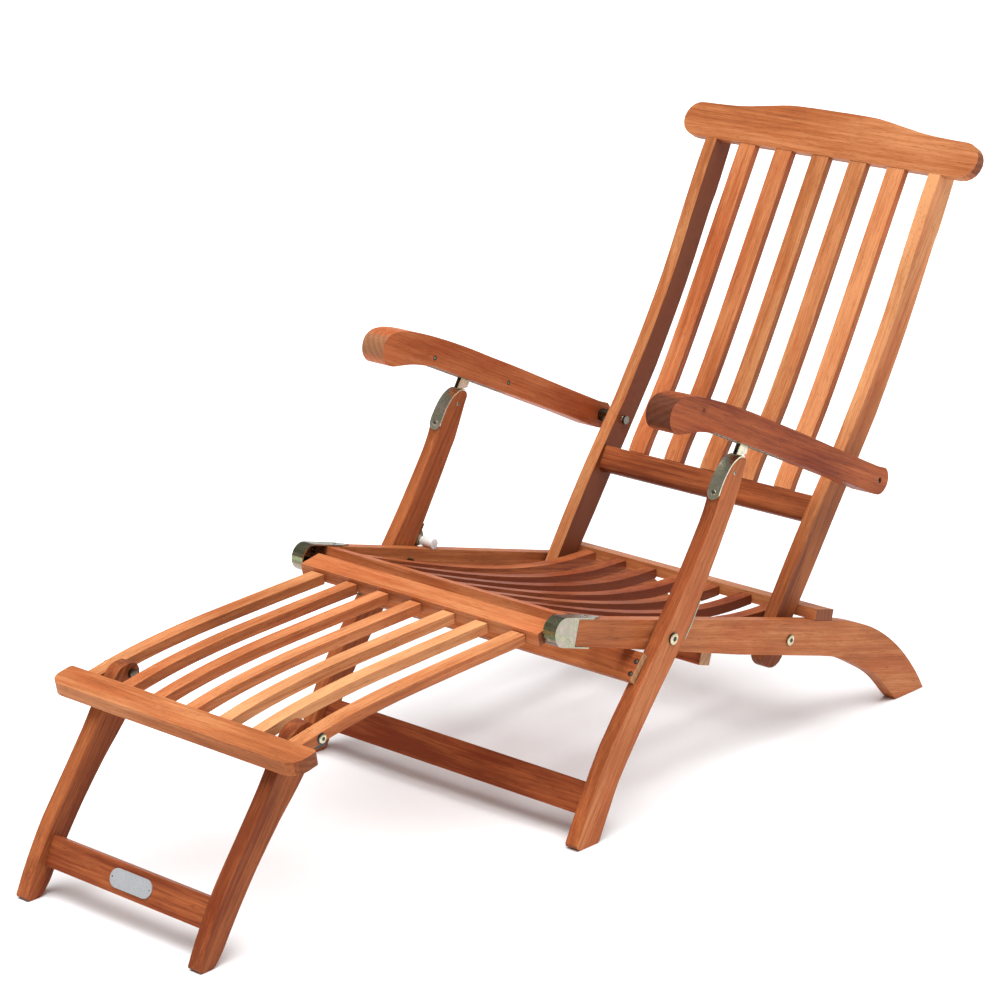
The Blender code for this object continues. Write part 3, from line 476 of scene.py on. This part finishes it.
def screw(name, place, direction, body, radius=0.0038, sunk=0.0004, spin=0.4):
    """A countersunk wood screw head with a cross recess."""
    up = Vector(direction).normalized()
    base = Vector(place) - up * sunk
    r = radius
    dome = [(0.0, 0.0010), (r * 0.35, 0.00098), (r * 0.72, 0.00080), (r * 0.93, 0.00048),
            (r, 0.00015), (r, -0.0006)]
    head = turned(f"{name}_head", dome, STEEL, 24)
    face_towards(head, base, up, spin)
    cross = drive_cross(f"{name}_cross", r * 0.62, 0.00112, RECESS_SHADE)
    cross.parent = head
    cross.matrix_parent_inverse = Matrix.Identity(4)
    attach(head, body)
    return head


def counterbore(name, place, direction, body, radius):
    """A wood screw seen deep in its hole: a ring of painted shade for the hole, with the head's cross in the
    middle.
    """
    up = Vector(direction).normalized()
    wall = turned(f"{name}_wall", [(0.0, 0.0001), (radius * 0.88, 0.00012), (radius, 0.00022),
                                   (radius * 1.04, 0.0)], RECESS_SHADE, 28)
    face_towards(wall, Vector(place), up)
    crown = [(0.0, 0.00030), (radius * 0.42, 0.00026), (radius * 0.52, 0.0001)]
    head = turned(f"{name}_screw", crown, STEEL, 24)
    cross = drive_cross(f"{name}_cross", radius * 0.34, 0.00036, RECESS_SHADE)
    for part in (head, cross):
        part.parent = wall
    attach(wall, body)
    return wall


def hex_socket(name, radius, height, material):
    """A hexagonal recess, dark with painted shade, seen from above, just proud of the head it lies in."""
    data = bpy.data.meshes.new(name)
    shape = bmesh.new()
    bmesh.ops.create_cone(shape, cap_ends=True, segments=6, radius1=radius * 0.86, radius2=radius,
                          depth=0.0006, matrix=Matrix.Translation((0, 0, height)))
    shape.to_mesh(data)
    shape.free()
    return link(name, data, material)


def bolt_head(name, place, direction, body, radius, height=0.0026):
    """A low, slightly domed head whose hexagonal socket lies in a well of painted shade."""
    r, h = radius, height
    head = turned(name, [(r * 0.40, h * 0.30), (r * 0.43, h * 0.98), (r * 0.60, h), (r * 0.80, h * 0.82),
                         (r * 0.93, h * 0.50), (r, h * 0.20), (r, 0.0)], BRIGHT, 36)
    face_towards(head, place, direction)
    well = turned(f"{name}_well", [(0.0, h * 0.32), (r * 0.42, h * 0.32), (r * 0.43, h * 0.90)], RECESS_SHADE, 24)
    socket = hex_socket(f"{name}_socket", r * 0.40, h * 0.70, RECESS_SHADE)
    for part in (well, socket):
        part.parent = head
    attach(head, body)
    return head


def side(y, z, x):
    """A point from its side-view place."""
    return (x, y + SHIFT, z)


RAIL_SLOPE = math.atan(0.2606)
RAIL_UP = (0.0, math.sin(RAIL_SLOPE), math.cos(RAIL_SLOPE))

ARM_FACE = 0.2848             # an armrest bolt's head stays inside the armrest's outer face
FLUSH_HEAD, PROUD_HEAD = 0.0004, 0.0012
# packed bolt, body and radius of the head
HEADS = (("leg_pivot_bolt", "seat_frame", 0.0084), ("back_pivot_bolt", "back_hinge", 0.0080),
         ("armrest_bolt", "arm_hinge", 0.0062), ("footrest_leg_bolt", "footrest", 0.0062))

for word, hand in SIDES.items():
    out, inwards = (hand, 0.0, 0.0), (-hand, 0.0, 0.0)
    arm_body = f"armrest_{word}"
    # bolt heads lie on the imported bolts' own heads
    for bolt, body, radius in HEADS:
        node = f"{bolt}_{word}"
        low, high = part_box(node)
        outer = max(abs(low[0]), abs(high[0]))
        flush = bolt == "armrest_bolt"
        _, y, z = middle_of(node)
        bolt_head(f"{node}_head", (hand * min(outer, ARM_FACE if flush else outer), y, z), out, body,
                  radius, FLUSH_HEAD if flush else PROUD_HEAD)
    bolt_head(f"armrest_bolt_tail_{word}", side(0.4580, 0.3826, hand * 0.1982), inwards, "backrest",
              0.0066, 0.0030)
    # cup straps: one screw through the pointed top strap; the bottom strap's screw is not drawn
    screw(f"cup_top_screw_{word}", side(-0.1440, 0.2768 + 0.2606 * 0.1440 + 0.0024, hand * 0.2365), RAIL_UP,
          "seat_frame", 0.0036, 0.0003)
    # armrest screws in the inner faces
    for k, (y, z) in enumerate(((0.0774, 0.5469), (0.2393, 0.4772))):
        counterbore(f"arm_screw_{word}_{k}", side(y, z, hand * 0.2430), inwards, arm_body, 0.0036)
    # leg head: one screw in front and one at each side
    screw(f"head_front_screw_{word}", side(0.0961, 0.4409, hand * 0.2610), (0, -0.93, 0.37), "front_legs",
          0.0042, 0.0)
    for face, y, x, direction in (("out", 0.1302, 0.2715, out), ("in", 0.1353, 0.2505, inwards)):
        screw(f"head_side_screw_{word}_{face}", side(y, 0.4638, hand * x), direction, "front_legs",
              0.0032, 0.0003)
    # stop bracket screw in its lower end
    screw(f"bracket_screw_{word}", side(0.0326, 0.2526, hand * 0.2610), (0, 0.79, -0.61), "front_legs",
          0.0034, -0.0002)
    # stop bar: two screws at each end, deep in holes drawn with painted shade, square to its front face
    for k, (y, z) in enumerate(((-0.0585, 0.2337), (-0.0709, 0.2194))):
        counterbore(f"bar_hole_{word}_{k}", side(y, z, hand * 0.2555), (0, -0.755, 0.655), "front_legs",
                    0.0040)


# ---- black blocks under the footrest's outer slats, round the leg bolts --------------------
BLOCK_LINE = ((-0.6275, 0.2606), (-0.6275, 0.2560), (-0.6250, 0.2537), (-0.6045, 0.2541), (-0.6008, 0.2606))


def black_block(name, hand, line, near, far):
    """A small black block: a side-view outline carried across, with rounded edges."""
    data = bpy.data.meshes.new(name)
    shape = bmesh.new()
    ends = [[shape.verts.new(side(y, z, hand * x)) for y, z in line] for x in (near, far)]
    for end in ends:
        shape.faces.new(end)
    count = len(line)
    for k in range(count):
        shape.faces.new((ends[0][k], ends[0][(k + 1) % count], ends[1][(k + 1) % count], ends[1][k]))
    bmesh.ops.recalc_face_normals(shape, faces=shape.faces)
    shape.to_mesh(data)
    shape.free()
    made = link(name, data, BLACK)
    soften(made, 0.0008, 2)
    return made


for word, hand in SIDES.items():
    low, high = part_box(f"stop_sleeve_{word}")
    inner_end = min(abs(low[0]), abs(high[0]))
    cap = turned(f"sleeve_cap_{word}", [(0.0, 0.0004), (0.0052, 0.0004), (0.0062, 0.0001), (0.0062, -0.0001)],
                 WHITE, 28)
    face_towards(cap, (hand * inner_end, (low[1] + high[1]) / 2, (low[2] + high[2]) / 2), (-hand, 0.0, 0.0))
    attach(cap, "front_legs")
    collar = turned(f"footrest_bolt_collar_{word}", [(0.0050, 0.0005), (0.0070, 0.0005), (0.0074, 0.0002),
                                                     (0.0074, -0.0004)], BLACK, 32)
    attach(face_towards(collar, side(-0.6125, 0.2662, hand * 0.2000), (hand, 0.0, 0.0)), "footrest")
    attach(black_block(f"footrest_black_block_{word}", hand, BLOCK_LINE, 0.1768, 0.1992), "footrest")
# two pins hold the badge, which leans with the stretcher's front face
BADGE_LEAN = math.radians(65)
low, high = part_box("footrest_badge")
for k, end in enumerate((-1, 1)):
    outward = Vector((0.0, -math.sin(BADGE_LEAN), math.cos(BADGE_LEAN)))
    middle = Vector(tuple((a + b) / 2 for a, b in zip(low, high))) + outward * 0.0006
    middle.x += end * ((high[0] - low[0]) / 2 - 0.0042)
    tip = [(0.0, 0.00045), (0.0006, 0.0004), (0.0011, 0.0001), (0.0011, -0.0001)]
    pin = turned(f"badge_pin_{k}", tip, DULL_AND_SHADED, 16)
    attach(face_towards(pin, middle, outward), "footrest_legs")


# ---- floor, light and camera ----------------------------------------------------------
WALLS = {"From Min": 0.02, "From Max": 0.08, "To Min": 1.10, "To Max": 0.25}


def studio():
    data = bpy.data.meshes.new("floor")
    shape = bmesh.new()
    bmesh.ops.create_grid(shape, x_segments=2, y_segments=2, size=30.0)
    shape.to_mesh(data)
    shape.free()
    tree = Tree("studio_floor")
    coordinates = tree.add("ShaderNodeTexCoord").outputs["Object"]
    cloud = tree.noise(tree.scaled(coordinates, (1.5, 1.5, 1.5)), 1.0, 2.0)
    tree.put(tree.shader.inputs["Base Color"],
             tree.mix(cloud, (0.86, 0.87, 0.88, 1.0), (0.88, 0.89, 0.90, 1.0)))
    tree.shader.inputs["Roughness"].default_value = 0.9
    tree.shader.inputs["Specular IOR Level"].default_value = 0.1
    floor = link("studio_floor", data, tree.material)
    floor.location.z = -0.0006

    world = bpy.data.worlds.new("studio")
    bpy.context.scene.world = world
    world.use_nodes = True
    nodes, links = world.node_tree.nodes, world.node_tree.links
    back = nodes["Background"]
    back.inputs["Color"].default_value = (1.0, 1.0, 1.0, 1.0)
    # pale walls round a dimmer ceiling
    heights = nodes.new("ShaderNodeSeparateXYZ")
    links.new(nodes.new("ShaderNodeTexCoord").outputs["Generated"], heights.inputs[0])
    fall = nodes.new("ShaderNodeMapRange")
    links.new(heights.outputs["Z"], fall.inputs["Value"])
    for name, value in WALLS.items():
        fall.inputs[name].default_value = value
    links.new(fall.outputs[0], back.inputs["Strength"])


def overhead(name, direction, spread, strength):
    """An even, very soft light from one side of the sky: the direction points towards it."""
    data = bpy.data.lights.new(name, "SUN")
    data.angle = math.radians(spread)
    data.energy = strength
    lamp = bpy.data.objects.new(name, data)
    bpy.context.scene.collection.objects.link(lamp)
    lamp.rotation_euler = Vector(direction).to_track_quat("Z", "Y").to_euler()
    return lamp


def camera():
    """A long lens in front of the chair's left corner, a little above it."""
    azimuth, elevation = math.radians(42.27), math.radians(19.01)
    data = bpy.data.cameras.new("camera")
    data.lens = 118.497
    data.sensor_width = 36.0
    data.shift_x = 0.03214
    data.shift_y = 0.10791
    data.clip_end = 120.0
    view = bpy.data.objects.new("camera", data)
    bpy.context.scene.collection.objects.link(view)
    view.location = (2.9264, -3.3385 + SHIFT, 1.7663)
    towards = Vector((-math.sin(azimuth) * math.cos(elevation), math.cos(azimuth) * math.cos(elevation),
                      -math.sin(elevation)))
    view.rotation_euler = towards.to_track_quat("-Z", "Y").to_euler()
    bpy.context.scene.camera = view


studio()
camera()
overhead("overhead", (0.13, -0.14, 1.0), 66.0, 5.1)
scene = bpy.context.scene
scene.view_settings.view_transform = "Standard"
